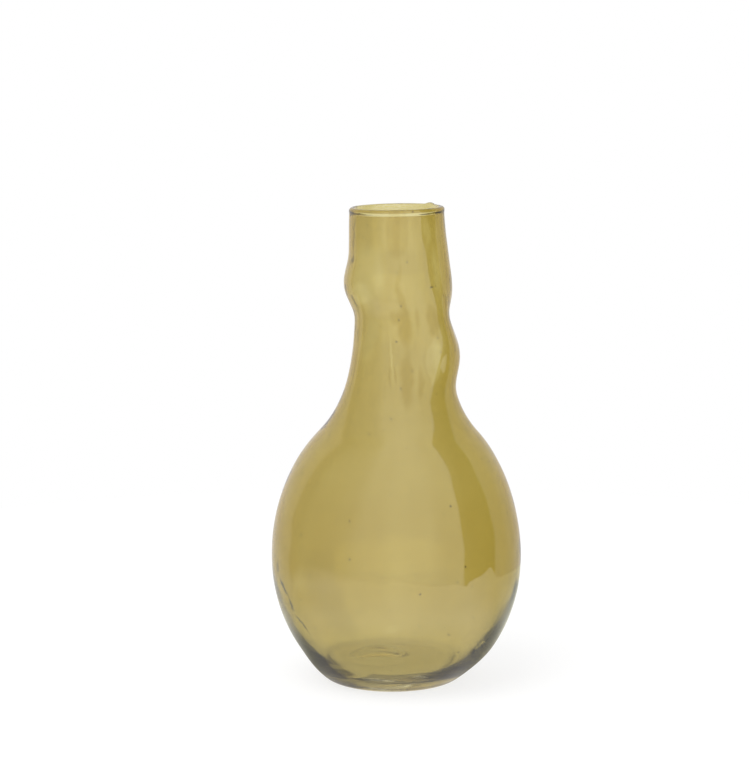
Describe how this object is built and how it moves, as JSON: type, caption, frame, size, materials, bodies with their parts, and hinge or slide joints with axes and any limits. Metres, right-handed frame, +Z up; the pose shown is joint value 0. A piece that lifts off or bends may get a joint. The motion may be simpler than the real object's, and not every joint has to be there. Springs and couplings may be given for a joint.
{
  "type": "glass vase",
  "caption": "Mouth-blown amber glass vase with a round bulb, a drawn-in shoulder and a knobbly off-centre neck with a rounded lip, free-standing on a flat foot ring.",
  "frame": {"origin": "on the surface the vase stands on, below the middle of its bulb", "axes": "+Z up along the bulb's axis, +X towards the side on which the lower knob of the neck stands out, -Y towards the viewer of the picture"},
  "size_m": [0.1576, 0.1576, 0.3012],
  "materials": {
    "amber_glass": "clear fire-polished glass with a thin amber-olive tint, seeds and soft ripples"
  },
  "bodies": {
    "root": {"vase_glass": "amber_glass"}
  },
  "joints": []
}
